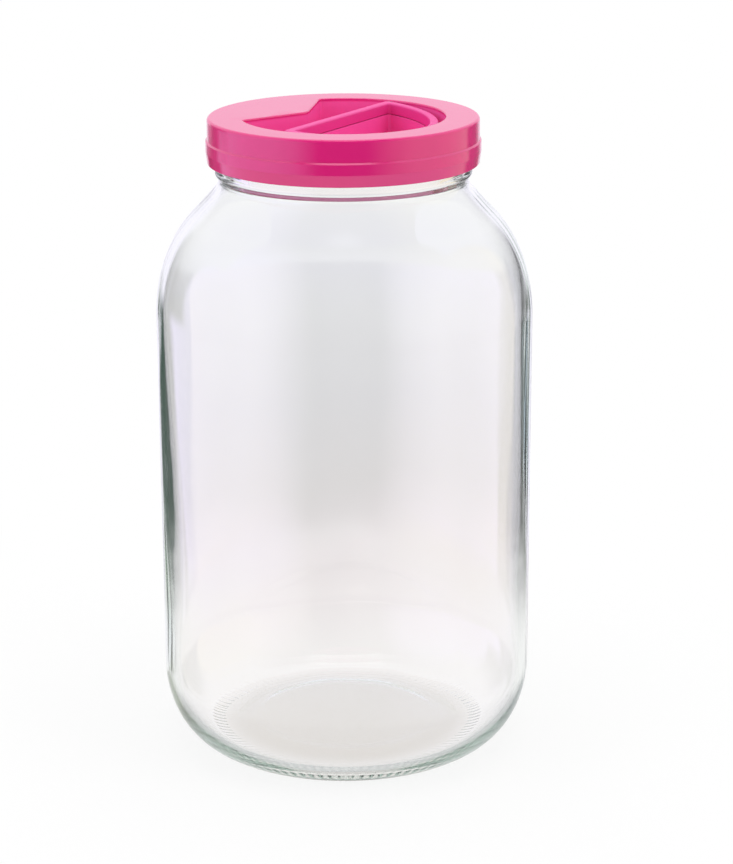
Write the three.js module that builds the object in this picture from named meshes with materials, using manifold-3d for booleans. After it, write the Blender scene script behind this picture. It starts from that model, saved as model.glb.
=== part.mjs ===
// A four-litre glass storage jar with a screw lid of moulded plastic. The lid has a fold-flat
// carry handle that lies in a well in its top, and a soft ring that seals it on the glass.
// Millimetres, +Z up. The origin is on the jar's axis, in the plane that it stands on.

import * as THREE from 'three';
import { mergeVertices } from 'three/addons/utils/BufferGeometryUtils.js';
import Module from 'manifold-3d';

const wasm = await Module();
wasm.setup();

// Driving dimensions of the glass
const JAR_HEIGHT = 266.8;            // floor to the lip
const BODY_RADIUS = 78.6;            // outside of the straight wall
const GLASS_WALL = 3.6;
const BEARING_INNER_RADIUS = 50.0;   // flat ring that the jar stands on
const BEARING_OUTER_RADIUS = 54.0;
const HEEL_HEIGHT = 34.0;            // height of the rounded heel
const PUSH_UP_RADIUS = 38.0;         // edge of the raised middle of the base
const PUSH_UP_RISE = 2.0;
const PUSH_UP_CROWN = 1.4;           // further rise from that edge to the axis
const BASE_GLASS = 5.5;              // the glass is thickest under the base
const NECK_HEIGHT = 24.5;            // from the crown of the shoulder's ellipse to the lip
const SHOULDER_RUN = 41.4;           // half axes of the shoulder's ellipse
const SHOULDER_DROP = 54.1;
const NECK_WAIST = 1.0;              // neck below the bead, inside the line of the finish
const NECK_FILLET = 2.4;             // bend from the shoulder into the neck
const NECK_FILLET_RISE = 1.3;
const MOUTH_RADIUS = 48.0;
const FINISH_WALL = 3.6;             // glass behind the threads
const BEAD_STAND = 1.6;              // the ring under the lid, proud of the finish
const BEAD_HEIGHT = 4.4;
const BEAD_DROP = 16.4;              // lip to the top of that ring
const LIP_ROUND = 1.4;

// Driving dimensions of the lid
const LID_SKIN = 2.2;                // top of the lid
const SKIRT_WALL = 1.8;
const SKIRT_DEPTH = 18.8;            // top of the lid to the end of the skirt
const SKIRT_CLEARANCE = 1.0;         // round the glass bead
const LEDGE_DEPTH = 9.6;             // top of the lid to the ledge round the skirt
const LEDGE_STEP = 0.7;
const LEDGE_SLOPE = 0.5;             // fall of the ledge over that step
const FOOT_HEIGHT = 4.6;             // tapered foot of the skirt
const FOOT_TAPER = 1.1;
const TOP_EDGE_ROUND = 1.3;
const PLUG_WALL = 2.0;
const PLUG_CLEARANCE = 4.0;          // plug to the mouth
const PLUG_DEPTH = 17.0;             // top of the lid to the end of the plug
const POCKET_WALL = 2.0;
const POCKET_DEPTH = 14.8;           // top of the lid to the floor of the finger pockets
const LEDGE_CAVITY_INSET = 14;       // degrees kept solid beside each end of the handle
const PLATE_REACH = 18.0;            // axis to the nose of the plain plate
const PLATE_NOSE = 8.0;              // radius of that nose
const PLATE_SLOPE = 23;              // degrees between the bar and each side of the plate

// Driving dimensions of the seal
const SEAL_THICKNESS = 1.4;
const SEAL_OVERHANG = 0.8;           // past the lip, inside and outside
const SEAL_GAP = 0.2;

// Driving dimensions of the handle
const HANDLE_ANGLE = 59;             // degrees from +X to the hinge bar
const HANDLE_OFFSET = 2.0;           // hinge bar to the axis of the jar
const HANDLE_STRIP = 3.6;            // width of the bow
const HANDLE_BAR = 3.4;              // width of the straight bar
const HANDLE_HEIGHT = 4.6;
const HANDLE_GROOVE = 3.2;           // between the middle of the bow and the wall of the well
const HANDLE_SINK = 0.2;             // top of the bar below the top of the lid
const HANDLE_DROOP = 3.8;            // degrees that the bow hangs below the bar at rest
const HANDLE_CORNER = 3.0;
const HANDLE_EDGE = 0.8;
const HANDLE_CLEARANCE = 0.3;
const STUB_DIAMETER = 3.4;
const STUB_ENGAGEMENT = 2.6;         // length of each pivot stub inside its socket
const SOCKET_CLEARANCE = 0.3;
const BOSS_WALL = 1.6;
const BOSS_CLEARANCE = 1.2;          // boss to the glass of the mouth

// Facets of the round forms
const ROUND_STEPS = 56;              // round the axis
const ARC_STEPS = 8;                 // heel and shoulder
const BOW_STEPS = 26;
const ROD_STEPS = 16;
const BEAD_STEPS = 6;
const CORNER_STEPS = 4;
const EDGE_STEPS = 3;                // small rounded edges
const BEVEL_STEPS = 2;
const CUT_MARGIN = 1.0;              // how far a cutting solid runs past what it cuts
const WELD_DISTANCE = 1e-4;          // points nearer than this are one point

// Sizes that follow from those
const LID_TOP = JAR_HEIGHT + SEAL_GAP + SEAL_THICKNESS + SEAL_GAP + LID_SKIN;
const FINISH_RADIUS = MOUTH_RADIUS + FINISH_WALL;
const NECK_RADIUS = FINISH_RADIUS - NECK_WAIST;
const BEAD_RADIUS = FINISH_RADIUS + BEAD_STAND;
const SKIRT_INNER_RADIUS = BEAD_RADIUS + SKIRT_CLEARANCE;
const LID_RADIUS = SKIRT_INNER_RADIUS + SKIRT_WALL;
const PLUG_RADIUS = MOUTH_RADIUS - PLUG_CLEARANCE;
const WELL_RADIUS = PLUG_RADIUS - PLUG_WALL;
const BOW_OUTER_RADIUS = WELL_RADIUS - HANDLE_GROOVE + HANDLE_OFFSET;   // about the hinge bar
const BOW_INNER_RADIUS = BOW_OUTER_RADIUS - HANDLE_STRIP;
const HINGE_DEPTH = HANDLE_SINK + HANDLE_HEIGHT / 2;
const SOCKET_END = WELL_RADIUS + STUB_ENGAGEMENT + SOCKET_CLEARANCE;

// Points of an elliptical arc about (cx, cy), both ends included
function arc(cx, cy, rx, ry, from, to, steps) {
  return Array.from({ length: steps + 1 }, (_, i) => {
    const t = THREE.MathUtils.degToRad(from + (to - from) * i / steps);
    return new THREE.Vector2(cx + rx * Math.cos(t), cy + ry * Math.sin(t));
  });
}

const at = (r, z) => new THREE.Vector2(r, z);

// A bend from one point to another that leaves and arrives along the lines to the corner
const bend = (from, corner, to, steps) => new THREE.QuadraticBezierCurve(from, corner, to).getPoints(steps);

// A geometry as a solid that can be joined and cut
function solid(geometry) {
  const bare = geometry.index ? geometry.toNonIndexed() : geometry.clone();
  bare.deleteAttribute('normal');
  bare.deleteAttribute('uv');
  const merged = mergeVertices(bare, WELD_DISTANCE);
  return new wasm.Manifold(new wasm.Mesh({
    numProp: 3,
    vertProperties: new Float32Array(merged.attributes.position.array),
    triVerts: new Uint32Array(merged.index.array),
  }));
}

// A profile of (radius, height) points turned about the Z axis
function revolve(profile) {
  return solid(new THREE.LatheGeometry(profile, ROUND_STEPS).rotateX(Math.PI / 2));
}

// A flat outline raised from one height to another, at a given place across
function prism(shape, low, high, y = 0) {
  const settings = { depth: high - low, bevelEnabled: false, curveSegments: ROUND_STEPS };
  return solid(new THREE.ExtrudeGeometry(shape, settings).translate(0, y, low));
}

// A round bar along X, from one end to the other, at a given place across and up
function crossRod(radius, from, to, y, z) {
  const rod = new THREE.CylinderGeometry(radius, radius, to - from, ROD_STEPS);
  return solid(rod.rotateZ(Math.PI / 2).translate((from + to) / 2, y, z));
}

function disc(radius) {
  const shape = new THREE.Shape();
  shape.absarc(0, 0, radius, 0, Math.PI * 2);
  return shape;
}

function piece(name, body, colour, roughness, settings = {}) {
  const mesh = body.getMesh();
  const geometry = new THREE.BufferGeometry();
  geometry.setAttribute('position', new THREE.BufferAttribute(mesh.vertProperties, 3));
  geometry.setIndex(new THREE.BufferAttribute(mesh.triVerts, 1));
  geometry.computeVertexNormals();
  const material = new THREE.MeshStandardMaterial({ color: colour, roughness, metalness: 0, ...settings });
  const part = new THREE.Mesh(geometry, material);
  part.name = name;
  return part;
}

// The glass is one turned wall: outside from the base to the lip, inside back down to the floor.
function jarBody() {
  const shoulderCentre = BODY_RADIUS - SHOULDER_RUN;
  const shoulderBase = JAR_HEIGHT - NECK_HEIGHT - SHOULDER_DROP;
  const neckFoot = NECK_RADIUS + NECK_FILLET;
  const footAngle = THREE.MathUtils.radToDeg(Math.acos((neckFoot - shoulderCentre) / SHOULDER_RUN));
  const footHeight = shoulderBase + SHOULDER_DROP * Math.sin(THREE.MathUtils.degToRad(footAngle));
  const neckCorner = at(NECK_RADIUS, footHeight + NECK_FILLET_RISE);
  const neckStart = at(NECK_RADIUS, neckCorner.y + NECK_FILLET);
  const beadMiddle = JAR_HEIGHT - BEAD_DROP - BEAD_HEIGHT / 2;
  const beadReach = BEAD_RADIUS - NECK_RADIUS;
  const beadEnd = THREE.MathUtils.radToDeg(Math.acos(NECK_WAIST / beadReach));
  const innerRadius = BODY_RADIUS - GLASS_WALL;
  const innerShoulderRun = SHOULDER_RUN - GLASS_WALL;
  const innerShoulderDrop = SHOULDER_DROP - GLASS_WALL;
  const innerShoulderCentre = innerRadius - innerShoulderRun;
  const mouthReach = (MOUTH_RADIUS - innerShoulderCentre) / innerShoulderRun;
  const mouthAngle = THREE.MathUtils.radToDeg(Math.acos(mouthReach));
  const heelRun = BODY_RADIUS - BEARING_OUTER_RADIUS;
  const innerHeelRun = heelRun - GLASS_WALL;
  const innerHeelDrop = HEEL_HEIGHT - BASE_GLASS;
  const profile = [
    ...arc(0, PUSH_UP_RISE, PUSH_UP_RADIUS, PUSH_UP_CROWN, 90, 0, CORNER_STEPS),
    at(BEARING_INNER_RADIUS, 0),
    ...arc(BEARING_OUTER_RADIUS, HEEL_HEIGHT, heelRun, HEEL_HEIGHT, -90, 0, ARC_STEPS),
    ...arc(shoulderCentre, shoulderBase, SHOULDER_RUN, SHOULDER_DROP, 0, footAngle, ARC_STEPS),
    ...bend(at(neckFoot, footHeight), neckCorner, neckStart, EDGE_STEPS).slice(1),
    ...arc(NECK_RADIUS, beadMiddle, beadReach, BEAD_HEIGHT / 2, -90, beadEnd, BEAD_STEPS),
    ...arc(FINISH_RADIUS - LIP_ROUND, JAR_HEIGHT - LIP_ROUND, LIP_ROUND, LIP_ROUND, 0, 90, EDGE_STEPS),
    ...arc(MOUTH_RADIUS + LIP_ROUND, JAR_HEIGHT - LIP_ROUND, LIP_ROUND, LIP_ROUND, 90, 180, EDGE_STEPS),
    ...arc(innerShoulderCentre, shoulderBase, innerShoulderRun, innerShoulderDrop, mouthAngle, 0, ARC_STEPS),
    ...arc(BEARING_OUTER_RADIUS, HEEL_HEIGHT, innerHeelRun, innerHeelDrop, 0, -90, ARC_STEPS),
    at(BEARING_INNER_RADIUS, BASE_GLASS),
    ...arc(0, PUSH_UP_RISE + BASE_GLASS, PUSH_UP_RADIUS, PUSH_UP_CROWN, 0, 90, CORNER_STEPS),
  ];
  return piece('jar_body', revolve(profile), '#dfe8e6', 0.05, { transparent: true, opacity: 0.35 });
}

// The soft ring lies on the lip and fills the channel under the rim of the lid.
function lidSeal() {
  const inner = MOUTH_RADIUS - SEAL_OVERHANG;
  const outer = FINISH_RADIUS + SEAL_OVERHANG;
  const low = JAR_HEIGHT + SEAL_GAP;
  const high = low + SEAL_THICKNESS;
  const profile = [at(inner, low), at(outer, low), at(outer, high), at(inner, high), at(inner, low)];
  return piece('lid_seal', revolve(profile), '#f1efe9', 0.6);
}

// The outline of the bow about the hinge: a half round closed by a straight side, with two rounded corners
function bowOutline(radius, chord, corner) {
  const centre = chord - corner;
  const across = Math.sqrt((radius - corner) ** 2 - centre ** 2);
  const turn = THREE.MathUtils.radToDeg(Math.atan2(centre, across));
  return new THREE.Shape([
    ...arc(0, 0, radius, radius, 180 - turn, 360 + turn, BOW_STEPS),
    ...arc(across, centre, corner, corner, turn, 90, CORNER_STEPS).slice(1),
    ...arc(-across, centre, corner, corner, 90, 180 - turn, CORNER_STEPS).slice(0, -1),
  ]);
}

const INNER_CORNER = HANDLE_CORNER - Math.min(HANDLE_STRIP, HANDLE_BAR) / 2;
const BAR_FACE = HANDLE_OFFSET - HANDLE_BAR / 2;     // side of the bar that faces the bow
const BAR_BACK = HANDLE_OFFSET + HANDLE_BAR / 2;     // side of the bar that faces the plate
const bowHole = bowOutline(BOW_INNER_RADIUS, -HANDLE_BAR / 2, INNER_CORNER);

// The handle is a closed bow whose straight bar ends in two pivot stubs.
function carryHandle() {
  const outline = bowOutline(BOW_OUTER_RADIUS, HANDLE_BAR / 2, HANDLE_CORNER);
  outline.holes.push(bowHole);
  const bow = new THREE.ExtrudeGeometry(outline, {
    depth: HANDLE_HEIGHT - 2 * HANDLE_EDGE,
    bevelThickness: HANDLE_EDGE,
    bevelSize: HANDLE_EDGE,
    bevelOffset: -HANDLE_EDGE,
    bevelSegments: BEVEL_STEPS,
  }).translate(0, 0, HANDLE_EDGE - HANDLE_HEIGHT / 2);
  const stubEnd = WELL_RADIUS + STUB_ENGAGEMENT;
  const stubs = crossRod(STUB_DIAMETER / 2, -stubEnd, stubEnd, 0, 0);
  const middle = crossRod(STUB_DIAMETER, -BOW_INNER_RADIUS, BOW_INNER_RADIUS, 0, 0);
  const handle = piece('carry_handle', solid(bow).add(stubs.subtract(middle)), '#f2a3cc', 0.28);
  handle.position.set(0, HANDLE_OFFSET, -HINGE_DEPTH);
  handle.rotation.x = THREE.MathUtils.degToRad(HANDLE_DROOP);
  return handle;
}

// The lid is one moulding: a turned shell with a plug, whose top is opened by a well for the
// handle and two finger pockets, and whose underside is hollowed where no pocket comes down.
function lidShell() {
  const ledgeRadius = LID_RADIUS + LEDGE_STEP;
  const shell = revolve([
    at(0, -PLUG_DEPTH),
    at(PLUG_RADIUS, -PLUG_DEPTH),
    at(PLUG_RADIUS, -LID_SKIN),
    at(SKIRT_INNER_RADIUS, -LID_SKIN),
    at(SKIRT_INNER_RADIUS, -SKIRT_DEPTH),
    at(ledgeRadius - FOOT_TAPER, -SKIRT_DEPTH),
    at(ledgeRadius, -SKIRT_DEPTH + FOOT_HEIGHT),
    at(ledgeRadius, -LEDGE_DEPTH - LEDGE_SLOPE),
    at(LID_RADIUS, -LEDGE_DEPTH),
    ...arc(LID_RADIUS - TOP_EDGE_ROUND, -TOP_EDGE_ROUND, TOP_EDGE_ROUND, TOP_EDGE_ROUND, 0, 90, EDGE_STEPS),
    at(0, 0),
  ]);

  const well = prism(disc(WELL_RADIUS), -PLUG_DEPTH - CUT_MARGIN, CUT_MARGIN);
  const halfPlan = (from, to) => new THREE.Shape([
    at(-LID_RADIUS, from), at(LID_RADIUS, from), at(LID_RADIUS, to), at(-LID_RADIUS, to)]);

  // The plate comes to a rounded nose between two straight sides.
  const slope = THREE.MathUtils.degToRad(PLATE_SLOPE);
  const noseCentre = PLATE_REACH + PLATE_NOSE;
  const platePlan = inset => {
    const nose = PLATE_NOSE - inset;
    const endX = nose * Math.sin(slope) + LID_RADIUS * Math.cos(slope);
    const endY = noseCentre - nose * Math.cos(slope) + LID_RADIUS * Math.sin(slope);
    return new THREE.Shape([
      at(-endX, LID_RADIUS), at(-endX, endY),
      ...arc(0, noseCentre, nose, nose, -90 - PLATE_SLOPE, -90 + PLATE_SLOPE, CORNER_STEPS),
      at(endX, endY), at(endX, LID_RADIUS)]);
  };

  // The bow lies over a shelf in the well, and the bar over the rib that parts the two pockets.
  const droop = BOW_OUTER_RADIUS * Math.sin(THREE.MathUtils.degToRad(HANDLE_DROOP));
  const shelf = -(HINGE_DEPTH + HANDLE_HEIGHT / 2 + droop + HANDLE_CLEARANCE);
  const barReach = Math.hypot(HANDLE_BAR / 2 - HANDLE_EDGE, HANDLE_HEIGHT / 2 - HANDLE_EDGE) + HANDLE_EDGE;
  const ribTop = -(HINGE_DEPTH + barReach + HANDLE_CLEARANCE);
  const bowBed = prism(halfPlan(-LID_RADIUS, BAR_FACE), shelf, CUT_MARGIN);
  const barBed = prism(halfPlan(BAR_FACE - CUT_MARGIN, BAR_BACK), ribTop, CUT_MARGIN);
  const fingerPocket = prism(bowHole, -POCKET_DEPTH, CUT_MARGIN, HANDLE_OFFSET);
  const slotPocket = prism(halfPlan(BAR_BACK, LID_RADIUS), -POCKET_DEPTH, CUT_MARGIN)
    .subtract(prism(platePlan(0), -LID_RADIUS, LID_RADIUS));
  const openings = bowBed.add(barBed).add(fingerPocket).add(slotPocket).intersect(well);

  // The underside is hollow below the shelf and below the plate.
  const inset = THREE.MathUtils.degToRad(LEDGE_CAVITY_INSET);
  const underShelf = new THREE.Shape();
  underShelf.absarc(0, 0, WELL_RADIUS, Math.PI + inset, Math.PI * 2 - inset, false);
  const innerWall = BOW_INNER_RADIUS + POCKET_WALL;
  underShelf.absarc(0, HANDLE_OFFSET, innerWall, Math.PI * 2 - inset, Math.PI + inset, true);
  const shelfCavity = prism(underShelf, -PLUG_DEPTH - CUT_MARGIN, shelf - POCKET_WALL);
  const plateCavity = prism(platePlan(POCKET_WALL), -PLUG_DEPTH - CUT_MARGIN, -LID_SKIN).intersect(well);

  // Each pivot socket is blind, in a boss behind the wall of the well.
  const socketRadius = STUB_DIAMETER / 2 + SOCKET_CLEARANCE;
  const bossRadius = socketRadius + BOSS_WALL;
  const bossEnd = MOUTH_RADIUS - BOSS_CLEARANCE;
  const underTop = prism(disc(LID_RADIUS - TOP_EDGE_ROUND), -PLUG_DEPTH, -LID_SKIN / 2);
  const bosses = crossRod(bossRadius, -bossEnd, bossEnd, HANDLE_OFFSET, -HINGE_DEPTH).intersect(underTop);
  const sockets = crossRod(socketRadius, -SOCKET_END, SOCKET_END, HANDLE_OFFSET, -HINGE_DEPTH);
  const wellCore = prism(disc(WELL_RADIUS), -LID_RADIUS, LID_RADIUS);

  const body = shell.add(bosses.subtract(wellCore))
    .subtract(openings)
    .subtract(shelfCavity)
    .subtract(plateCavity)
    .subtract(sockets.subtract(prism(disc(WELL_RADIUS - CUT_MARGIN), -LID_RADIUS, LID_RADIUS)));
  return piece('lid_shell', body, '#e0519b', 0.25);
}

// The lid and its handle share a frame in the top face of the lid, with X along the hinge bar.
const lid = new THREE.Group();
lid.position.z = LID_TOP;
lid.rotation.z = THREE.MathUtils.degToRad(HANDLE_ANGLE);
lid.add(lidShell(), carryHandle());

const jar = new THREE.Group();
jar.add(jarBody(), lidSeal(), lid);

export default jar;
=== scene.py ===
# A four-litre glass storage jar. Its screw lid is moulded in pink plastic, with a seal inside and a
# carry handle that folds flat into the top.

import math

import bpy
import numpy as np
from mathutils import Matrix, Vector


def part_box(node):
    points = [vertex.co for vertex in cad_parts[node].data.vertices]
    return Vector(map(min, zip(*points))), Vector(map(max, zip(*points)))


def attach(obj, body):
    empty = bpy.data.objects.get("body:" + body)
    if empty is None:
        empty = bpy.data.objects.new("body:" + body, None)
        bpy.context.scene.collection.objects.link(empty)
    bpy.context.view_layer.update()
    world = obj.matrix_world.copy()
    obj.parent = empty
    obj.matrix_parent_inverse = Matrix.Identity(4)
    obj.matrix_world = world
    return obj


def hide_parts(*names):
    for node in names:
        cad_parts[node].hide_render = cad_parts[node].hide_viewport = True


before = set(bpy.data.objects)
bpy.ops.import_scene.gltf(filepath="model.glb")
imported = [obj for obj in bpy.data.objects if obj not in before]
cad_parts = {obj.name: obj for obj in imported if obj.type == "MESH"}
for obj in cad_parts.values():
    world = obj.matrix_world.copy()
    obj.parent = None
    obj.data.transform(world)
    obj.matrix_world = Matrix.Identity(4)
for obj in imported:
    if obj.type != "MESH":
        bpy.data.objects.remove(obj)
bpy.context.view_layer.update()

# The jar. It is clear soda-lime glass, blown in a mould of two halves: fine seams run up its sides, the
# inside wall is a little uneven, and the ring that it stands on is stippled against scratches.
MM = 0.001
JAR_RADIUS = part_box("jar_body")[1].x / MM
JAR_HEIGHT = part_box("jar_body")[1].z / MM
GLASS_WALL = 3.6
STIPPLES, STIPPLE_RISE, STIPPLE_TOP = 96, 0.25, 3.0
STIPPLE_NEAR, STIPPLE_FAR = (53.6, 54.6), (61.2, 62.4)
JAR_COLUMNS = 4 * STIPPLES
BEARING_INNER, BEARING_OUTER = 50.0, 54.0
HEEL_HEIGHT = 34.0
PUSH_UP_RADIUS, PUSH_UP_RISE, PUSH_UP_CROWN = 38.0, 2.0, 1.4
BASE_GLASS = 5.5
SHOULDER_RUN, SHOULDER_DROP, SHOULDER_BASE, SHOULDER_END = 41.4, 54.1, 188.2, 52.0
FINISH_RADIUS, MOUTH_RADIUS, MOUTH_FOOT = 51.6, 48.0, 243.4
BEAD_HEIGHT, BEAD_REACH, BEAD_STAND = 248.2, 3.3, 1.5
BEAD_HALF, BEAD_CLEAR = 3.6, 3.9
LIP_ROUND = 1.4
THREAD_STARTS, THREAD_LEAD, THREAD_RUN_OUT = 2, 12.0, 14.0
JAR_THREAD_HEIGHT, JAR_THREAD_WIDTH = 1.6, 2.8
JAR_THREAD_FOOT, JAR_THREAD_ANGLE, JAR_THREAD_TURN = 253.4, 40.0, 306.0
FINISH_LOW, FINISH_HIGH = (251.5, 252.5), (264.6, 265.4)
SEAM_ANGLE, SEAM_WIDTH, SEAM_STAND = -6.0, 0.7, 0.12
SEAM_LOW, SEAM_HIGH = (2.0, 8.0), (236.0, 244.0)
WAVE_LOW, WAVE_HIGH = (14.0, 60.0), (190.0, 236.0)
# each wave of the inside: its depth, how many go round, where it starts, and the height of its twist
WAVES = ((0.22, 3, 1.1, 60), (0.10, 7, 2.3, -37), (0.05, 16, 0.4, 23))


def ellipse(across, up, run, rise, start, end, steps):
    """Points of an elliptical arc about (across, up), from one angle to another in degrees."""
    turn = np.radians(np.linspace(start, end, steps + 1))
    return np.stack([across + run * np.cos(turn), up + rise * np.sin(turn)], axis=1)


def bend(first, corner, last, steps):
    """A smooth bend from one point to another that leaves and arrives along the lines to the corner."""
    share = np.linspace(0.0, 1.0, steps + 1)[:, None]
    points = [np.array(point) for point in (first, corner, last)]
    return (1 - share) ** 2 * points[0] + 2 * share * (1 - share) * points[1] + share**2 * points[2]


def rise(value, low, high):
    """Nought below low, one above high, and a smooth climb between."""
    share = np.clip((value - low) / (high - low), 0.0, 1.0)
    return share * share * (3 - 2 * share)


def thread(turn, height, foot, angle, sweep, width):
    """Share of the full height of a screw thread at each angle and height, for all its starts."""
    # the degrees before its start that still count as before it
    before = 30.0
    ridge = np.zeros(np.broadcast(turn, height).shape)
    for start in range(THREAD_STARTS):
        along = np.degrees(turn) - angle - 360.0 * start / THREAD_STARTS
        along = (along + before) % 360.0 - before
        off = (height - foot - THREAD_LEAD * along / 360.0) / (width / 2)
        runs = rise(along, 0.0, THREAD_RUN_OUT) * (1 - rise(along, sweep - THREAD_RUN_OUT, sweep))
        ridge = np.maximum(ridge, runs * np.where(abs(off) < 1, np.cos(off * np.pi / 2) ** 2, 0.0))
    return ridge


def shown(name, points, faces):
    """A smooth-shaded object in the scene from points in millimetres."""
    mesh = bpy.data.meshes.new(name)
    mesh.from_pydata((np.asarray(points) * MM).tolist(), [], faces)
    mesh.shade_smooth()
    made = bpy.data.objects.new(name, mesh)
    bpy.context.scene.collection.objects.link(made)
    return made


def bands(here):
    """Four-sided faces between each row of points and the next, closed round."""
    beside = np.roll(here, -1, axis=1)
    return np.stack([here[:-1], beside[:-1], beside[1:], here[1:]], axis=-1).reshape(-1, 4).tolist()


def turned(name, radius, height, poles=None):
    """A mesh from rows of radii and heights round the axis, closed on two poles or else on itself."""
    rows, columns = radius.shape
    turn = np.arange(columns) * 2 * np.pi / columns
    points = np.stack([radius * np.cos(turn), radius * np.sin(turn), height], axis=-1).reshape(-1, 3)
    here = np.arange(rows * columns).reshape(rows, columns)
    if poles is None:
        here = np.concatenate([here, here[:1]])
    faces = bands(here)
    if poles is not None:
        foot, head = rows * columns, rows * columns + 1
        points = np.concatenate([points, [[0, 0, poles[0]], [0, 0, poles[1]]]])
        faces += [(foot, b, a) for a, b in zip(here[0], np.roll(here[0], -1))]
        faces += [(a, b, head) for a, b in zip(here[-1], np.roll(here[-1], -1))]
    return shown(name, points, faces)


def shoulder_line(centre, run, drop, neck, top):
    """The shoulder from the wall up: an ellipse that runs out into a cone, then a bend into the neck."""
    curve = ellipse(centre, SHOULDER_BASE, run, drop, 0, SHOULDER_END, 30)
    climb = drop / run / math.tan(math.radians(SHOULDER_END))
    corner = (neck, curve[-1, 1] + climb * (curve[-1, 0] - neck))
    return np.concatenate([curve, bend(curve[-1], corner, (neck, top), 14)[1:]])


def glass_jar():
    inner = JAR_RADIUS - GLASS_WALL
    shoulder = JAR_RADIUS - SHOULDER_RUN
    crown = PUSH_UP_RISE + PUSH_UP_CROWN
    crown_edge, crown_foot = PUSH_UP_RADIUS + 1.0, PUSH_UP_RISE - 0.12
    crown_radii = np.linspace(0.0, PUSH_UP_RADIUS, 12)[1:]
    crown_rise = PUSH_UP_RISE + PUSH_UP_CROWN * (1 - (crown_radii / PUSH_UP_RADIUS) ** 2)
    ring_radii = np.arange(BEARING_INNER + 0.8, BEARING_OUTER, 0.75)
    wall_heights = np.linspace(HEEL_HEIGHT, SHOULDER_BASE, 22)[1:-1]
    bead_heights = np.linspace(BEAD_HEIGHT - BEAD_HALF, BEAD_HEIGHT + BEAD_HALF, 26)
    bead_off = (bead_heights - BEAD_HEIGHT) / BEAD_REACH
    swell = np.where(abs(bead_off) < 1, np.cos(bead_off * np.pi / 2) ** 2, 0.0)
    lip = JAR_HEIGHT - LIP_ROUND
    thread_heights = np.linspace(BEAD_HEIGHT + BEAD_CLEAR, lip, 40)[:-1]
    mouth_heights = np.array([262.0, 257.0, 252.0, 247.0])
    outside = np.concatenate([
        np.stack([crown_radii, crown_rise], axis=1),
        bend((crown_edge, crown_foot), (BEARING_INNER - 2.0, 0.0), (BEARING_INNER, 0.0), 8),
        np.stack([ring_radii, 0 * ring_radii], axis=1),
        ellipse(BEARING_OUTER, HEEL_HEIGHT, JAR_RADIUS - BEARING_OUTER, HEEL_HEIGHT, -90, -70, 16),
        ellipse(BEARING_OUTER, HEEL_HEIGHT, JAR_RADIUS - BEARING_OUTER, HEEL_HEIGHT, -70, 0, 26)[1:],
        np.stack([0 * wall_heights + JAR_RADIUS, wall_heights], axis=1),
        shoulder_line(shoulder, SHOULDER_RUN, SHOULDER_DROP, FINISH_RADIUS, BEAD_HEIGHT - BEAD_CLEAR),
        np.stack([FINISH_RADIUS + BEAD_STAND * swell, bead_heights], axis=1),
        np.stack([0 * thread_heights + FINISH_RADIUS, thread_heights], axis=1),
        ellipse(FINISH_RADIUS - LIP_ROUND, lip, LIP_ROUND, LIP_ROUND, 0, 90, 7),
    ])
    inner_wall = np.linspace(SHOULDER_BASE, HEEL_HEIGHT, 24)[1:-1]
    inside = np.concatenate([
        ellipse(MOUTH_RADIUS + LIP_ROUND, lip, LIP_ROUND, LIP_ROUND, 90, 180, 7),
        np.stack([0 * mouth_heights + MOUTH_RADIUS, mouth_heights], axis=1),
        shoulder_line(shoulder, SHOULDER_RUN - GLASS_WALL, SHOULDER_DROP - GLASS_WALL,
                      MOUTH_RADIUS, MOUTH_FOOT)[::-1],
        np.stack([0 * inner_wall + inner, inner_wall], axis=1),
        ellipse(BEARING_OUTER, HEEL_HEIGHT, inner - BEARING_OUTER, HEEL_HEIGHT - BASE_GLASS, 0, -90, 30),
        bend((BEARING_INNER, BASE_GLASS), (BEARING_INNER - 4.0, BASE_GLASS),
             (crown_edge, BASE_GLASS + crown_foot), 8),
        np.stack([crown_radii, BASE_GLASS + crown_rise], axis=1)[::-1],
    ])
    turn = np.arange(JAR_COLUMNS) * 2 * np.pi / JAR_COLUMNS
    profile = np.concatenate([outside, inside])
    radius = np.repeat(profile[:, :1], JAR_COLUMNS, axis=1)
    height = np.repeat(profile[:, 1:], JAR_COLUMNS, axis=1)
    out, within = slice(0, len(outside)), slice(len(outside), None)

    # the screw thread between the bead and the lip, the stipples on the outer side of the bearing ring,
    # and the two seams from the heel to the neck
    finish = rise(height[out], *FINISH_LOW) * (1 - rise(height[out], *FINISH_HIGH))
    finish = finish * (radius[out] > FINISH_RADIUS - 0.1)
    ridge = thread(turn, height[out], JAR_THREAD_FOOT, JAR_THREAD_ANGLE, JAR_THREAD_TURN, JAR_THREAD_WIDTH)
    foot = rise(radius[out], *STIPPLE_NEAR) * (1 - rise(radius[out], *STIPPLE_FAR))
    stipple = foot * (height[out] < STIPPLE_TOP) * (0.5 - 0.5 * np.cos(STIPPLES * turn))
    from_seam = np.degrees(abs((turn - np.radians(SEAM_ANGLE) + np.pi / 2) % np.pi - np.pi / 2))
    seam = np.exp(-((from_seam / SEAM_WIDTH) ** 2))
    seam = seam * rise(height[out], *SEAM_LOW) * (1 - rise(height[out], *SEAM_HIGH))
    radius[out] += JAR_THREAD_HEIGHT * finish * ridge + SEAM_STAND * seam
    height[out] += STIPPLE_RISE * stipple

    # the inside was shaped by air alone, so between the heel and the neck it waves a little
    free = rise(height[within], *WAVE_LOW) * (1 - rise(height[within], *WAVE_HIGH))
    for depth, count, start, twist in WAVES:
        radius[within] += free * depth * np.sin(count * turn + start + height[within] / twist)
    return turned("glass_jar", radius, height, poles=(crown, BASE_GLASS + crown))


def linear(code):
    """An sRGB hex colour as linear light."""
    parts = [int(code[i:i + 2], 16) / 255 for i in (1, 3, 5)]
    return [p / 12.92 if p <= 0.04045 else ((p + 0.055) / 1.055) ** 2.4 for p in parts] + [1.0]


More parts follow.
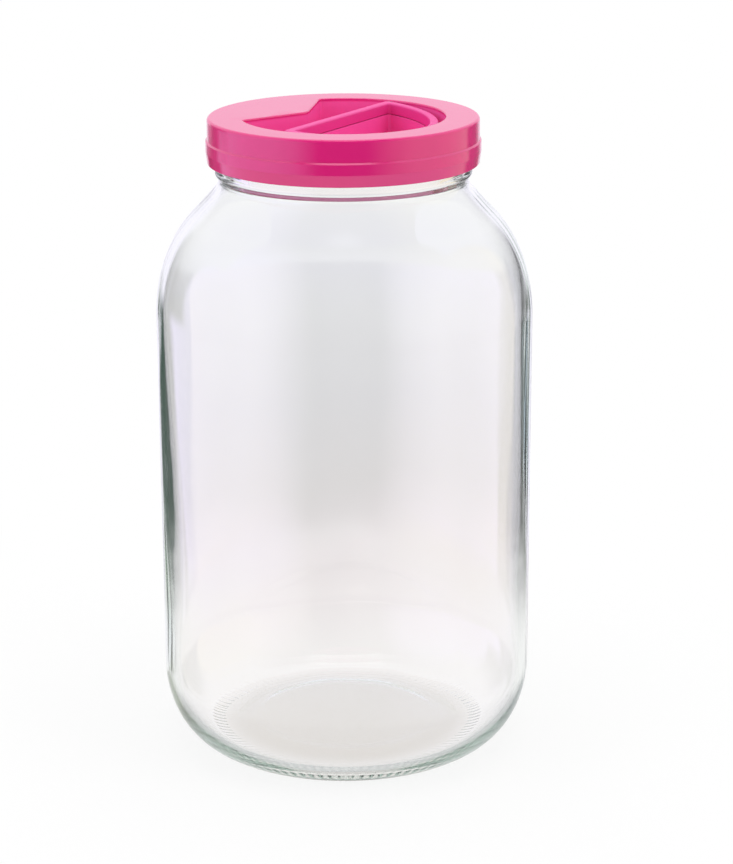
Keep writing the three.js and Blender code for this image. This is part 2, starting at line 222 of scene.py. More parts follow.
def add_node(tree, kind, inputs=None, **settings):
    """Adds a node. Each input is a value, or another node's output to link from."""
    made = tree.nodes.new(kind)
    for name, value in settings.items():
        setattr(made, name, value)
    for socket, value in (inputs or {}).items():
        if isinstance(value, bpy.types.NodeSocket):
            tree.links.new(value, made.inputs[socket])
        else:
            made.inputs[socket].default_value = value
    return made


def new_material(name):
    made = bpy.data.materials.new(name)
    made.use_nodes = True
    made.node_tree.nodes.clear()
    return made, made.node_tree


def soda_lime_glass():
    """Clear glass, cooled against a mould: glossy, faintly rippled, and grey-green where it is thick."""
    made, tree = new_material("soda_lime_glass")
    place = add_node(tree, "ShaderNodeTexCoord").outputs["Object"]
    ripple_size = 18 * MM
    ripple = add_node(tree, "ShaderNodeTexNoise", {"Vector": place, "Scale": 1 / ripple_size, "Detail": 1.0})
    relief = add_node(tree, "ShaderNodeBump", {
        "Height": ripple.outputs["Fac"], "Strength": 0.35, "Distance": 0.1 * MM})
    haze = add_node(tree, "ShaderNodeMapRange", {
        "Value": ripple.outputs["Fac"], "To Min": 0.0, "To Max": 0.02})
    glass = add_node(tree, "ShaderNodeBsdfPrincipled", {
        "Base Color": linear("#FFFFFF"), "Roughness": haze.outputs["Result"], "IOR": 1.52,
        "Transmission Weight": 1.0, "Normal": relief.outputs["Normal"]})
    # lamps shine through it, so that its shadow is faint
    lamp_path = add_node(tree, "ShaderNodeLightPath")
    clear = add_node(tree, "ShaderNodeBsdfTransparent", {"Color": linear("#EFF4F1")})
    surface = add_node(tree, "ShaderNodeMixShader", {
        0: lamp_path.outputs["Is Shadow Ray"], 1: glass.outputs["BSDF"], 2: clear.outputs["BSDF"]})
    depth = add_node(tree, "ShaderNodeVolumeAbsorption", {"Color": linear("#AACBB0"), "Density": 9.0})
    add_node(tree, "ShaderNodeOutputMaterial", {
        "Surface": surface.outputs["Shader"], "Volume": depth.outputs["Volume"]})
    return made


jar = glass_jar()
jar.data.materials.append(soda_lime_glass())
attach(jar, "jar")
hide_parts("jar_body")

# The seal. A soft ring of white foamed polyethylene, punched from sheet, which lies in the channel under
# the rim of the lid and is pressed on the lip of the glass.
SEAL_LOW, SEAL_HIGH = (corner.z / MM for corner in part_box("lid_seal"))
SEAL_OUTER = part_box("lid_seal")[1].x / MM
SEAL_INNER = 47.2
SEAL_EDGE = 0.35
SEAL_COLUMNS = 128


def seal_ring():
    low, high = SEAL_LOW + SEAL_EDGE, SEAL_HIGH - SEAL_EDGE
    near, far = SEAL_INNER + SEAL_EDGE, SEAL_OUTER - SEAL_EDGE
    corners = ((far, low, -90), (far, high, 0), (near, high, 90), (near, low, 180))
    outline = np.concatenate([ellipse(x, z, SEAL_EDGE, SEAL_EDGE, a, a + 90, 4) for x, z, a in corners])
    radius = np.repeat(outline[:, :1], SEAL_COLUMNS, axis=1)
    height = np.repeat(outline[:, 1:], SEAL_COLUMNS, axis=1)
    return turned("seal_ring", radius, height)


def foamed_polyethylene():
    """Closed-cell foam: matt white, with a fine pebbled skin of small cells."""
    made, tree = new_material("foamed_polyethylene")
    place = add_node(tree, "ShaderNodeTexCoord").outputs["Object"]
    cell_size = 0.8 * MM
    cells = add_node(tree, "ShaderNodeTexVoronoi", {"Vector": place, "Scale": 1 / cell_size})
    relief = add_node(tree, "ShaderNodeBump", {
        "Height": cells.outputs["Distance"], "Strength": 0.4, "Distance": 0.1 * MM})
    tone = add_node(tree, "ShaderNodeMix", {
        0: cells.outputs["Distance"], 6: linear("#F4F2EC"), 7: linear("#E6E2D8")}, data_type="RGBA")
    foam = add_node(tree, "ShaderNodeBsdfPrincipled", {
        "Base Color": tone.outputs[2], "Roughness": 0.62, "IOR": 1.45, "Normal": relief.outputs["Normal"]})
    add_node(tree, "ShaderNodeOutputMaterial", {"Surface": foam.outputs["BSDF"]})
    return made


seal = seal_ring()
seal.data.materials.append(foamed_polyethylene())
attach(seal, "seal_ring")
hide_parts("lid_seal")

# The lid. One moulding of pink polypropylene: a threaded skirt with a ledge round it, a plug inside the
# mouth, and in the top a well with a shelf for the handle and a pocket for fingers on each side of it.
LID_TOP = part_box("lid_shell")[1].z / MM
HANDLE_ANGLE = 59.0
LID_RADIUS, SKIRT_INNER, SKIRT_DEPTH = 56.0, 54.2, 18.8
LEDGE_STEP, LEDGE_DEPTH, LEDGE_SLOPE = 0.7, 9.0, 0.65
FOOT_HEIGHT, FOOT_TAPER, FOOT_EDGE = 4.6, 0.6, 0.4
TOP_EDGE_ROUND, LOW_EDGE_ROUND, CHANNEL_ROUND, LID_SKIN = 1.3, 0.6, 1.0, 2.2
PLUG_RADIUS, PLUG_DEPTH = 44.0, 17.0
WELL_RADIUS, RIB_DEPTH, SHELF_DEPTH, POCKET_DEPTH = 42.0, 5.1, 7.8, 14.8
RIM_ROUND, FLOOR_ROUND, SHELF_EDGE = 0.7, 1.2, 0.15
PLATE_REACH, PLATE_NOSE, PLATE_SLOPE, PLATE_CORNER = 18.0, 8.0, 23.0, 1.6
POCKET_WALL = 2.0
HINGE_OFFSET, HINGE_DEPTH, HANDLE_DROOP = 2.0, 2.5, 3.8
BOW_INNER, INNER_CORNER, HALF_BAR = 37.2, 1.3, 1.7
SOCKET_RADIUS, SOCKET_END = 2.0, 44.9
BOSS_RADIUS, BOSS_END, BOSS_DROP = 3.6, 46.8, 1.2
LID_THREAD_HEIGHT, LID_THREAD_WIDTH = 1.7, 2.6
LID_THREAD_FOOT, LID_THREAD_ANGLE, LID_THREAD_TURN = 254.2, -26.0, 250.0
LID_COLUMNS, ROD_SIDES = 240, 40
LID_TURN = Matrix.Rotation(math.radians(HANDLE_ANGLE), 4, "Z")
LID_PLACE = Matrix.Translation((0, 0, LID_TOP * MM)) @ LID_TURN


def lid_blank():
    """The turned form of the lid, about its own top, before the well is opened."""
    low, lower = LOW_EDGE_ROUND, LID_RADIUS + LEDGE_STEP
    foot, foot_top = lower - FOOT_TAPER, -SKIRT_DEPTH + FOOT_HEIGHT
    curve, channel, top = CHANNEL_ROUND, -LID_SKIN - CHANNEL_ROUND, TOP_EDGE_ROUND
    wall = np.linspace(channel, -SKIRT_DEPTH + low, 54)
    outline = np.concatenate([
        [[12.0, -PLUG_DEPTH], [30.0, -PLUG_DEPTH]],
        ellipse(PLUG_RADIUS - low, -PLUG_DEPTH + low, low, low, -90, 0, 5),
        ellipse(PLUG_RADIUS + curve, channel, curve, curve, 180, 90, 5),
        ellipse(SKIRT_INNER - curve, channel, curve, curve, 90, 0, 5),
        np.stack([0 * wall + SKIRT_INNER, wall], axis=1)[1:-1],
        ellipse(SKIRT_INNER + low, -SKIRT_DEPTH + low, low, low, 180, 270, 5),
        ellipse(foot - FOOT_EDGE, -SKIRT_DEPTH + FOOT_EDGE, FOOT_EDGE, FOOT_EDGE, 270, 345, 5),
        bend((lower - 0.12, foot_top - 0.4), (lower, foot_top), (lower, foot_top + 0.5), 4),
        [[lower, -LEDGE_DEPTH - LEDGE_SLOPE], [LID_RADIUS, -LEDGE_DEPTH]],
        ellipse(LID_RADIUS - top, -top, top, top, 0, 90, 8),
        [[48.0, 0.0], [30.0, 0.0], [12.0, 0.0]],
    ])
    turn = np.arange(LID_COLUMNS) * 2 * np.pi / LID_COLUMNS
    radius = np.repeat(outline[:, :1], LID_COLUMNS, axis=1)
    height = np.repeat(outline[:, 1:], LID_COLUMNS, axis=1)
    ridge = thread(turn + math.radians(HANDLE_ANGLE), height + LID_TOP, LID_THREAD_FOOT, LID_THREAD_ANGLE,
                   LID_THREAD_TURN, LID_THREAD_WIDTH)
    ridge = ridge * (abs(radius - SKIRT_INNER) < 0.01) * rise(-height, LID_SKIN + 1.2, LID_SKIN + 2.0)
    radius -= LID_THREAD_HEIGHT * ridge
    return turned("lid", radius, height, poles=(-PLUG_DEPTH, 0.0))


def capped(name, points, rows):
    """A closed solid from rows of points, with a flat cap on the first row and on the last."""
    here = np.arange(len(points)).reshape(rows, -1)
    return shown(name, points, bands(here) + [here[0][::-1].tolist(), here[-1].tolist()])


def outward(outline):
    """The direction square to a closed outline at each of its points."""
    ahead, behind = np.roll(outline, -1, axis=0), np.roll(outline, 1, axis=0)
    along = (ahead - behind) / np.linalg.norm(ahead - behind, axis=1)[:, None]
    return np.stack([along[:, 1], -along[:, 0]], axis=1)


def lofted(name, outline, levels):
    """A closed solid whose outline is let out by each level's share, at that level's height."""
    points = [(x, y, up) for out, up in levels for x, y in outline + out * outward(outline)]
    return capped(name, points, len(levels))


def carve(body, tool, how="DIFFERENCE"):
    """Cuts the tool from the body, or joins it on, and takes the tool away."""
    step = body.modifiers.new("carve", "BOOLEAN")
    step.operation, step.object, step.solver = how, tool, "EXACT"
    graph = bpy.context.evaluated_depsgraph_get()
    shaped = bpy.data.meshes.new_from_object(body.evaluated_get(graph))
    body.modifiers.clear()
    body.data = shaped
    bpy.data.objects.remove(tool)


def bow_outline(radius, chord, corner, steps=96):
    """A wide arc closed by a straight side at the chord, with two rounded corners."""
    centre = chord - corner
    across = math.sqrt((radius - corner) ** 2 - centre**2)
    turn = math.degrees(math.atan2(centre, across))
    straight = np.linspace(across, -across, 25)[1:-1]
    return np.concatenate([
        ellipse(0, 0, radius, radius, 180 - turn, 360 + turn, steps),
        ellipse(across, centre, corner, corner, turn, 90, 10)[1:],
        np.stack([straight, 0 * straight + chord], axis=1),
        ellipse(-across, centre, corner, corner, 90, 180 - turn, 10)[:-1],
    ])


def plate_end(inset, limit):
    """Where the plate's right side, which leaves its nose at a slope, ends at a circle of the well."""
    slope, nose = math.radians(PLATE_SLOPE), PLATE_NOSE - inset
    leave = np.array([nose * math.sin(slope), PLATE_REACH + PLATE_NOSE - nose * math.cos(slope)])
    along = np.array([math.cos(slope), math.sin(slope)])
    past = leave @ along
    return leave + (math.sqrt(past**2 - leave @ leave + limit**2) - past) * along


def plate_edge(inset, steps=14):
    """The plate's rounded nose, from right to left."""
    nose = PLATE_NOSE - inset
    return ellipse(0, PLATE_REACH + PLATE_NOSE, nose, nose, PLATE_SLOPE - 90, -90 - PLATE_SLOPE, steps)


def well_outline(low):
    """The open part of the well beyond a straight line across it, or all of it: the plate takes the rest."""
    across, up = plate_end(-PLATE_CORNER, WELL_RADIUS - PLATE_CORNER)
    wall = math.degrees(math.atan2(up, across))
    corners = [
        ellipse(across, up, PLATE_CORNER, PLATE_CORNER, wall, 90 + PLATE_SLOPE, 10)[1:],
        plate_edge(0.0),
        ellipse(-across, up, PLATE_CORNER, PLATE_CORNER, 90 - PLATE_SLOPE, 180 - wall, 10)[:-1],
    ]
    if low is None:
        whole = ellipse(0, 0, WELL_RADIUS, WELL_RADIUS, 180 - wall, 360 + wall, 150)
        return np.concatenate([whole, *corners])
    start = math.degrees(math.asin(low / WELL_RADIUS))
    reach = WELL_RADIUS * math.cos(math.radians(start))
    line = np.linspace(-reach, reach, 40)[1:-1]
    return np.concatenate([
        ellipse(0, 0, WELL_RADIUS, WELL_RADIUS, 180 - wall, 180 - start, 30),
        np.stack([line, 0 * line + low], axis=1),
        ellipse(0, 0, WELL_RADIUS, WELL_RADIUS, start, wall, 30),
        *corners,
    ])


def cross_rod(name, radius, start, end, across, up):
    """A round bar along X with softly rounded ends."""
    soft = 0.3
    ends = [(start, soft), (start + soft, 0.0), (end - soft, 0.0), (end, soft)]
    turn = np.arange(ROD_SIDES) * 2 * np.pi / ROD_SIDES
    points = [(x, across + (radius - less) * math.cos(t), up + (radius - less) * math.sin(t))
              for x, less in ends for t in turn]
    return capped(name, points, len(ends))


def quarter(out, up, size, start, end):
    """Levels that round an edge between a wall and a level face."""
    return [tuple(level) for level in ellipse(out, up, size, size, start, end, 5)]


def finish_edges(body, sharp=38.0):
    """Smooth shading that keeps flat faces flat."""
    body.data.shade_smooth()
    body.data.set_sharp_from_angle(angle=math.radians(sharp))
    flat = body.modifiers.new("flat_faces", "WEIGHTED_NORMAL")
    flat.keep_sharp = True
    flat.weight = 80


def finger_outline(inset):
    """The finger pocket inside the bow, its straight side moved in."""
    return bow_outline(BOW_INNER, -HALF_BAR - inset, INNER_CORNER) + np.array([0.0, HINGE_OFFSET])


def moulded_lid():
    made = lid_blank()

    # every rod starts inside the wall that it joins or cuts
    for side in (-1, 1):
        boss = sorted((side * (PLUG_RADIUS - 1.0), side * BOSS_END))
        carve(made, cross_rod("boss", BOSS_RADIUS, *boss, HINGE_OFFSET, -HINGE_DEPTH - BOSS_DROP), "UNION")
    well = quarter(-FLOOR_ROUND, FLOOR_ROUND - RIB_DEPTH, FLOOR_ROUND, -90, 0)
    well += quarter(RIM_ROUND, -RIM_ROUND, RIM_ROUND, 180, 90) + [(RIM_ROUND, 0.6)]
    carve(made, lofted("well", well_outline(None), well))

    # the bow's shelf, which falls away from the hinge with the bow, and the two pockets: what stays
    # between the pockets is the rib under the bar. Some cuts are let out by a hair, so that no two
    # share a wall
    hair, top = 0.04, FLOOR_ROUND + 0.2 - RIB_DEPTH
    fall = math.tan(math.radians(HANDLE_DROOP))
    shear = Matrix(((1, 0, 0, 0), (0, 1, 0, 0), (0, fall, 1, -fall * HINGE_OFFSET * MM), (0, 0, 0, 1)))
    bed = quarter(hair - FLOOR_ROUND, FLOOR_ROUND - RIB_DEPTH, FLOOR_ROUND, -90, 0)
    bow_bed = lofted("bow_bed", bow_outline(WELL_RADIUS, 0.0, 1.6), bed + [(hair, 4.4 - RIB_DEPTH)])
    edge = quarter(SHELF_EDGE, -RIB_DEPTH - SHELF_EDGE, SHELF_EDGE, 180, 90)
    shelf_edge = lofted("shelf_edge", finger_outline(1.5), edge + [(SHELF_EDGE, 2.0 - RIB_DEPTH)])
    for tool in (bow_bed, shelf_edge):
        tool.data.transform(shear)
    carve(made, bow_bed)
    deep = quarter(-FLOOR_ROUND, FLOOR_ROUND - POCKET_DEPTH, FLOOR_ROUND, -90, 0)
    carve(made, lofted("finger_pocket", finger_outline(0.0), deep + [(0.0, top)]))
    carve(made, shelf_edge)
    slot = [(out + hair, up) for out, up in deep]
    carve(made, lofted("slot_pocket", well_outline(HINGE_OFFSET + HALF_BAR), slot + [(hair, top)]))
    for side in (-1, 1):
        socket = sorted((side * (WELL_RADIUS - 2.0), side * SOCKET_END))
        carve(made, cross_rod("socket", SOCKET_RADIUS, *socket, HINGE_OFFSET, -HINGE_DEPTH))

    # the underside is hollow below the shelf and below the plate
    under = -PLUG_DEPTH - 1.0
    under_shelf = np.concatenate([
        ellipse(0, 0, WELL_RADIUS, WELL_RADIUS, 194, 346, 60),
        ellipse(0, HINGE_OFFSET, BOW_INNER + POCKET_WALL, BOW_INNER + POCKET_WALL, 346, 194, 60)])
    carve(made, lofted("under_shelf", under_shelf, [(0.0, under), (0.0, -SHELF_DEPTH - POCKET_WALL)]))
    across, up = plate_end(POCKET_WALL, WELL_RADIUS)
    wall = math.degrees(math.atan2(up, across))
    under_plate = np.concatenate([
        ellipse(0, 0, WELL_RADIUS, WELL_RADIUS, wall, 180 - wall, 40), plate_edge(POCKET_WALL)[::-1]])
    carve(made, lofted("under_plate", under_plate, [(0.0, under), (0.0, -LID_SKIN)]))
    made.data.transform(LID_PLACE)
    finish_edges(made)
    return made


def pink_polypropylene(name, thin_below, painted_glow_tone):
    """Glossy moulded polypropylene with a very fine orange-peel skin. The thin walls of the well are
    textured, so that they look softer than the rim and the skirt, and they are given a paler pink:
    a painted glow that stands in for the light coming through them."""
    made, tree = new_material(name)
    place = add_node(tree, "ShaderNodeTexCoord").outputs["Object"]
    flow_size, peel_size = 30 * MM, 1.4 * MM
    flow = add_node(tree, "ShaderNodeTexNoise", {"Vector": place, "Scale": 1 / flow_size, "Detail": 2.0})
    peel = add_node(tree, "ShaderNodeTexNoise", {"Vector": place, "Scale": 1 / peel_size, "Detail": 2.0})
    parts = add_node(tree, "ShaderNodeSeparateXYZ", {0: place})
    across = add_node(tree, "ShaderNodeCombineXYZ", {0: parts.outputs["X"], 1: parts.outputs["Y"]})
    from_axis = add_node(tree, "ShaderNodeVectorMath", {0: across.outputs[0]}, operation="LENGTH")
    within = add_node(tree, "ShaderNodeMapRange", {
        "Value": from_axis.outputs["Value"],
        "From Min": (WELL_RADIUS + 0.8) * MM, "From Max": (WELL_RADIUS + 0.3) * MM})
    below = add_node(tree, "ShaderNodeMapRange", {
        "Value": parts.outputs["Z"], "From Min": thin_below * MM, "From Max": (thin_below - 1.0) * MM})
    thin = add_node(tree, "ShaderNodeMath", {0: within.outputs[0], 1: below.outputs[0]}, operation="MULTIPLY")
    thick = add_node(tree, "ShaderNodeMix", {
        0: flow.outputs["Fac"], 6: linear("#DC1474"), 7: linear("#D41874")}, data_type="RGBA")
    # on the thin walls a paler pink: a painted glow for the light coming through them
    tone = add_node(tree, "ShaderNodeMix", {
        0: thin.outputs[0], 6: thick.outputs[2], 7: linear(painted_glow_tone)}, data_type="RGBA")
    gloss = add_node(tree, "ShaderNodeMapRange", {
        "Value": flow.outputs["Fac"], "To Min": 0.10, "To Max": 0.18})
    skin = add_node(tree, "ShaderNodeMapRange", {
        "Value": thin.outputs[0], "To Min": gloss.outputs["Result"], "To Max": 0.5})
    relief = add_node(tree, "ShaderNodeBump", {
        "Height": peel.outputs["Fac"], "Strength": 0.12, "Distance": 0.02 * MM})
    plastic = add_node(tree, "ShaderNodeBsdfPrincipled", {
        "Base Color": tone.outputs[2], "Roughness": skin.outputs["Result"], "IOR": 1.49,
        "Specular IOR Level": 1.0, "Normal": relief.outputs["Normal"]})
    add_node(tree, "ShaderNodeOutputMaterial", {"Surface": plastic.outputs["BSDF"]})
    return made


lid = moulded_lid()
lid.data.materials.clear()
# the thin walls of the well get the paler pink, a painted glow
lid.data.materials.append(pink_polypropylene("lid_polypropylene", LID_TOP - RIM_ROUND, "#F258AC"))
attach(lid, "lid")
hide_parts("lid_shell")

# The carry handle. A flat bow of the same polypropylene, closed by a straight bar whose two pivot stubs
# snap into blind sockets in the wall of the well. At rest it lies on the shelf, its bow a little low.
HANDLE_HEIGHT, HANDLE_EDGE, HANDLE_FOOT_EDGE, HANDLE_CORNER = 4.6, 0.8, 0.3, 3.0
BOW_OUTER = 40.8
STUB_RADIUS, STUB_START, STUB_END = 1.7, BOW_INNER + 0.9, 44.6


def carry_bow():
    outer = bow_outline(BOW_OUTER, HALF_BAR, HANDLE_CORNER)
    inner = bow_outline(BOW_INNER, -HALF_BAR, INNER_CORNER)
    half, edge, low_edge = HANDLE_HEIGHT / 2, HANDLE_EDGE, HANDLE_FOOT_EDGE
    levels = [*ellipse(-low_edge, low_edge - half, low_edge, low_edge, -90, 0, 5),
              *ellipse(-edge, half - edge, edge, edge, 0, 90, 5)]
    rings = []
    for outline, way in ((outer, 1), (inner, -1)):
        for out, up in levels[::way]:
            flat = outline + out * way * outward(outline)
            rings.append(np.column_stack([flat, np.full(len(flat), up)]))
    here = np.arange(len(rings) * len(outer)).reshape(len(rings), -1)
    made = shown("handle_bow", np.concatenate(rings), bands(np.concatenate([here, here[:1]])))
    for side in (-1, 1):
        stub = sorted((side * STUB_START, side * STUB_END))
        carve(made, cross_rod("stub", STUB_RADIUS, *stub, 0.0, 0.0), "UNION")
    hinge = Matrix.Translation((0, HINGE_OFFSET * MM, -HINGE_DEPTH * MM))
    made.data.transform(LID_PLACE @ hinge @ Matrix.Rotation(math.radians(HANDLE_DROOP), 4, "X"))
    finish_edges(made)
    return made


handle = carry_bow()
handle.data.materials.clear()
# nearly all of the handle gets the paler pink too: a painted glow, as on the well's walls
handle.data.materials.append(pink_polypropylene("handle_polypropylene", LID_TOP + 2.0, "#DE3690"))
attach(handle, "handle")
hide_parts("carry_handle")

# The studio. A white table in front of a white backdrop, lit by two tall soft boxes beside the camera and
# one overhead. Dark cards stand behind the jar on both sides: they draw the dark edges of clear glass.
FLOOR_HALF, FLOOR_LEVEL = 4000.0, -0.2
SHADE_RADIUS, SHADE_CORE, SHADE_LEVEL, SHADE_CORNERS = 62.0, 44.0, -0.15, 64


def white_table():
    """Matt white laminate. It keeps the soft shadow near the jar and is plain white to the camera beyond."""
    made, tree = new_material("white_laminate")
    place = add_node(tree, "ShaderNodeTexCoord").outputs["Object"]
    grain_size = 5 * MM
    grain = add_node(tree, "ShaderNodeTexNoise", {"Vector": place, "Scale": 1 / grain_size})
    rough = add_node(tree, "ShaderNodeMapRange", {
        "Value": grain.outputs["Fac"], "To Min": 0.6, "To Max": 0.7})
    laminate = add_node(tree, "ShaderNodeBsdfDiffuse", {
        "Color": linear("#F0F0F0"), "Roughness": rough.outputs["Result"]})
    glow = add_node(tree, "ShaderNodeEmission", {"Color": linear("#FFFFFF"), "Strength": 1.0})
    distance = add_node(tree, "ShaderNodeVectorMath", {0: place}, operation="LENGTH")
    plain = add_node(tree, "ShaderNodeMapRange", {
        "Value": distance.outputs["Value"], "From Min": 120 * MM, "From Max": 320 * MM,
        "To Min": 0.85, "To Max": 1.0},
        interpolation_type="SMOOTHSTEP")
    path = add_node(tree, "ShaderNodeLightPath")
    share = add_node(tree, "ShaderNodeMath", {
        0: path.outputs["Is Camera Ray"], 1: plain.outputs["Result"]}, operation="MULTIPLY")
    both = add_node(tree, "ShaderNodeMixShader", {
        0: share.outputs[0], 1: laminate.outputs["BSDF"], 2: glow.outputs["Emission"]})
    add_node(tree, "ShaderNodeOutputMaterial", {"Surface": both.outputs["Shader"]})
    return made


corners = ((-1, -1), (1, -1), (1, 1), (-1, 1))
table_points = [(x * FLOOR_HALF, y * FLOOR_HALF, FLOOR_LEVEL) for x, y in corners]
table = shown("table", table_points, [(0, 1, 2, 3)])
table.data.materials.append(white_table())
table.visible_glossy = False
table.visible_transmission = False


def shaded_table():
    """The laminate under the jar, in the jar's own shade: a plain light grey seen through its base."""
    made, tree = new_material("shaded_laminate")
    place = add_node(tree, "ShaderNodeTexCoord").outputs["Object"]
    distance = add_node(tree, "ShaderNodeVectorMath", {0: place}, operation="LENGTH")
    shade = add_node(tree, "ShaderNodeMapRange", {
        "Value": distance.outputs["Value"], "From Min": SHADE_RADIUS * MM, "From Max": SHADE_CORE * MM},
        interpolation_type="SMOOTHSTEP")
    tone = add_node(tree, "ShaderNodeMix", {
        0: shade.outputs["Result"], 6: linear("#FAF5F4"), 7: linear("#E4DED9")}, data_type="RGBA")
    glow = add_node(tree, "ShaderNodeEmission", {"Color": tone.outputs[2], "Strength": 1.0})
    add_node(tree, "ShaderNodeOutputMaterial", {"Surface": glow.outputs["Emission"]})
    return made


shade_turn = np.linspace(0, 6.2, SHADE_CORNERS)
shade_points = [(SHADE_RADIUS * math.cos(t), SHADE_RADIUS * math.sin(t), SHADE_LEVEL) for t in shade_turn]
shaded = shown("shaded_table", shade_points, [list(range(SHADE_CORNERS))])
shaded.data.materials.append(shaded_table())
shaded.visible_camera = False
shaded.visible_diffuse = False
shaded.visible_shadow = False


def paint_ramp(ramp, stops):
    """Sets a ramp's stops, each a place from nought to one and a linear colour."""
    while len(ramp.elements) > 1:
        ramp.elements.remove(ramp.elements[-1])
    for i, (place, colour) in enumerate(stops):
        stop = ramp.elements[0] if i == 0 else ramp.elements.new(place)
        stop.position = place
        stop.color = colour


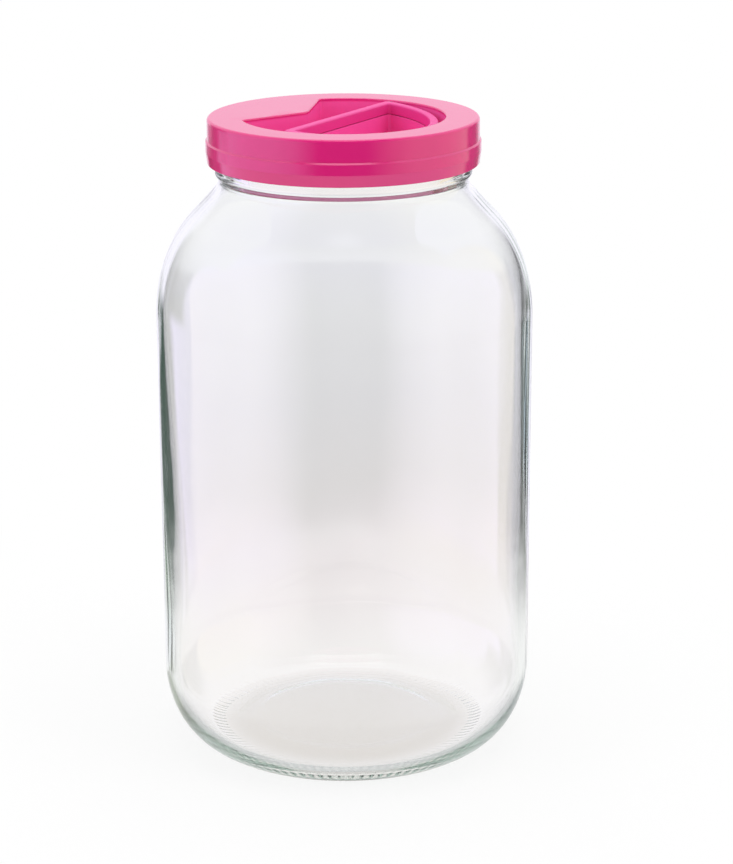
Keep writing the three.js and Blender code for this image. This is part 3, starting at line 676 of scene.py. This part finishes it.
def studio_world():
    """White to the camera. What is mirrored sees the soft boxes and the dark cards, and what is seen
    straight through the glass sees the white sweep, which is a little grey where it leaves the table."""
    made = bpy.data.worlds.new("studio")
    made.use_nodes = True
    tree = made.node_tree
    tree.nodes.clear()
    toward = add_node(tree, "ShaderNodeTexCoord").outputs["Generated"]
    parts = add_node(tree, "ShaderNodeSeparateXYZ", {0: toward})
    across, along, up = (parts.outputs[axis] for axis in "XYZ")

    # the bearing round the jar: 0 is behind it, and 180 either way is in front of it
    square = add_node(tree, "ShaderNodeMath", {0: across, 1: across}, operation="MULTIPLY")
    rest = add_node(tree, "ShaderNodeMath", {0: 1.0, 1: square.outputs[0]}, operation="SUBTRACT")
    reach = add_node(tree, "ShaderNodeMath", {0: rest.outputs[0], 1: 0.5}, operation="POWER")
    facing = add_node(tree, "ShaderNodeMath", {0: along}, operation="SIGN")
    depth = add_node(tree, "ShaderNodeMath", {
        0: reach.outputs[0], 1: facing.outputs[0]}, operation="MULTIPLY")
    bearing = add_node(tree, "ShaderNodeMath", {0: across, 1: depth.outputs[0]}, operation="ARCTAN2")
    round_share = add_node(tree, "ShaderNodeMapRange", {
        "Value": bearing.outputs[0], "From Min": -math.pi, "From Max": math.pi})

    # what stands at each bearing: the dark room in front, a soft box on each side, the backdrop behind,
    # and between them shaded walls. The cards are low, and the walls are lower than the boxes
    front, left, right, back = "#2A2A2B", "#B6AECC", "#B0A89A", "#AEACB4"
    shade, card, thin_card = "#4F4F50", "#2E3A34", "#525650"
    left_side = [(-180, front), (-160, front), (-140, "#A099B4"), (-120, left)]
    right_side = [(120, right), (140, "#8B8578"), (160, front), (180, front)]
    cards = [(-52, left), (-48, shade), (-36, shade), (-32, card), (-22, card), (-18, back),
             (19, back), (22, thin_card), (26, thin_card), (30, shade), (48, shade), (52, right)]
    walls = [(-67, left), (-64, shade), (-36, shade), (-32, back),
             (26, back), (30, shade), (50, shade), (53, right)]
    plain = [(-67, left), (-64, back), (50, back), (53, right)]
    ramps = []
    for middle in (cards, walls, plain):
        ramp = add_node(tree, "ShaderNodeValToRGB", {0: round_share.outputs[0]})
        ramps.append(ramp.outputs["Color"])
        stops = left_side + middle + right_side
        paint_ramp(ramp.color_ramp, [((angle + 180) / 360, linear(colour)) for angle, colour in stops])

    # how steeply up or down each of these ends, and the next begins
    ends = {"near_table": (-0.52, -0.42), "table": (-0.375, -0.32), "cards": (-0.22, -0.12),
            "walls": (-0.05, 0.45), "boxes": (0.95, 0.985)}
    above = {}
    for name, (low, high) in ends.items():
        fade = add_node(tree, "ShaderNodeMapRange", {
            "Value": up, "From Min": low, "From Max": high}, interpolation_type="SMOOTHSTEP")
        above[name] = fade.outputs[0]
    box_level = 2.4
    upper = add_node(tree, "ShaderNodeMix", {
        0: above["walls"], 6: ramps[1], 7: ramps[2]}, data_type="RGBA")
    around = add_node(tree, "ShaderNodeMix", {
        0: above["cards"], 6: ramps[0], 7: upper.outputs[2]}, data_type="RGBA")
    lights = add_node(tree, "ShaderNodeMix", {
        0: above["boxes"], 6: around.outputs[2], 7: linear("#E0E0E2")}, data_type="RGBA")
    bright = add_node(tree, "ShaderNodeVectorMath", {
        0: lights.outputs[2], "Scale": box_level}, operation="SCALE")
    # steeply down, mirrored rays see a grey: painted shade for the table in the jar's shadow
    under = add_node(tree, "ShaderNodeMix", {
        0: above["near_table"], 6: linear("#E0DFE1"), 7: linear("#F8F8F8")}, data_type="RGBA")
    mirrored = add_node(tree, "ShaderNodeMix", {
        0: above["table"], 6: under.outputs[2], 7: bright.outputs[0]}, data_type="RGBA")

    # the white sweep, from the table up to the backdrop
    sweep_low, sweep_high = -0.45, -0.05
    height = add_node(tree, "ShaderNodeMapRange", {
        "Value": up, "From Min": sweep_low, "From Max": sweep_high})
    sweep = add_node(tree, "ShaderNodeValToRGB", {0: height.outputs[0]})
    stops = [(-0.42, "#FFFBFB"), (-0.36, "#FDF7F8"), (-0.335, "#F8F1F3"), (-0.31, "#EEEAEB"),
             (-0.28, "#EEECEF"), (-0.25, "#F4F3F6"), (-0.22, "#F6F5FB"), (-0.12, "#FFFFFF")]
    span = sweep_high - sweep_low
    paint_ramp(sweep.color_ramp, [((place - sweep_low) / span, linear(colour)) for place, colour in stops])

    # who looks: the camera, a mirror, the glass, or else the light that falls on the pieces
    path = add_node(tree, "ShaderNodeLightPath")
    lit = add_node(tree, "ShaderNodeMix", {
        0: path.outputs["Is Transmission Ray"], 6: linear("#CCCCCC"), 7: sweep.outputs["Color"]},
        data_type="RGBA")
    glance = add_node(tree, "ShaderNodeMath", {
        0: path.outputs["Glossy Depth"], 1: 0.5}, operation="GREATER_THAN")
    struck = add_node(tree, "ShaderNodeMix", {
        0: glance.outputs[0], 6: lit.outputs[2], 7: mirrored.outputs[2]}, data_type="RGBA")
    seen = add_node(tree, "ShaderNodeMix", {
        0: path.outputs["Is Camera Ray"], 6: struck.outputs[2], 7: linear("#FFFFFF")}, data_type="RGBA")
    sky = add_node(tree, "ShaderNodeBackground", {"Color": seen.outputs[2], "Strength": 1.0})
    add_node(tree, "ShaderNodeOutputWorld", {"Surface": sky.outputs["Background"]})
    made.cycles.sampling_method = "NONE"
    return made


def soft_box(name, place, size, power):
    """A soft box that faces the middle of the jar."""
    lamp = bpy.data.lights.new(name, "AREA")
    lamp.shape, lamp.size, lamp.size_y, lamp.energy = "RECTANGLE", *size, power
    made = bpy.data.objects.new(name, lamp)
    bpy.context.scene.collection.objects.link(made)
    made.location = place
    facing = -Vector(place)
    facing.z += JAR_HEIGHT * MM / 2
    made.rotation_euler = facing.to_track_quat("-Z", "Y").to_euler()
    made.visible_glossy = False
    made.visible_transmission = False
    return made


bpy.context.scene.world = studio_world()
soft_box("left_box", (-1.3, -0.7, 0.8), (0.8, 1.2), 7)
soft_box("right_box", (1.3, -0.7, 0.8), (0.8, 1.2), 7)
soft_box("top_box", (0.0, 0.2, 1.6), (1.2, 1.2), 12)

# The camera, at the place the photograph was taken from: a metre away and a little above the lid. Light
# crosses many walls of glass on its way to it, so its paths may be long.
CAMERA_PLACE, CAMERA_LENS, CAMERA_SENSOR = (0.0098, -1.050, 0.455), 107.6, 36.0
CAMERA_TURN, CAMERA_DOWN, CAMERA_ROLL = 0.04, 16.94, -0.2
LIGHT_BOUNCES = 40

camera = bpy.data.cameras.new("camera")
camera.lens = CAMERA_LENS
camera.sensor_width = CAMERA_SENSOR
camera.clip_start = 10 * MM
view = bpy.data.objects.new("camera", camera)
bpy.context.scene.collection.objects.link(view)
view.matrix_world = (
    Matrix.Translation(CAMERA_PLACE)
    @ Matrix.Rotation(math.radians(CAMERA_TURN), 4, "Z")
    @ Matrix.Rotation(math.radians(90 - CAMERA_DOWN), 4, "X")
    @ Matrix.Rotation(math.radians(CAMERA_ROLL), 4, "Z"))
bpy.context.scene.camera = view
bpy.context.scene.view_settings.view_transform = "Standard"
for kind in ("max_bounces", "transmission_bounces", "glossy_bounces"):
    setattr(bpy.context.scene.cycles, kind, LIGHT_BOUNCES)
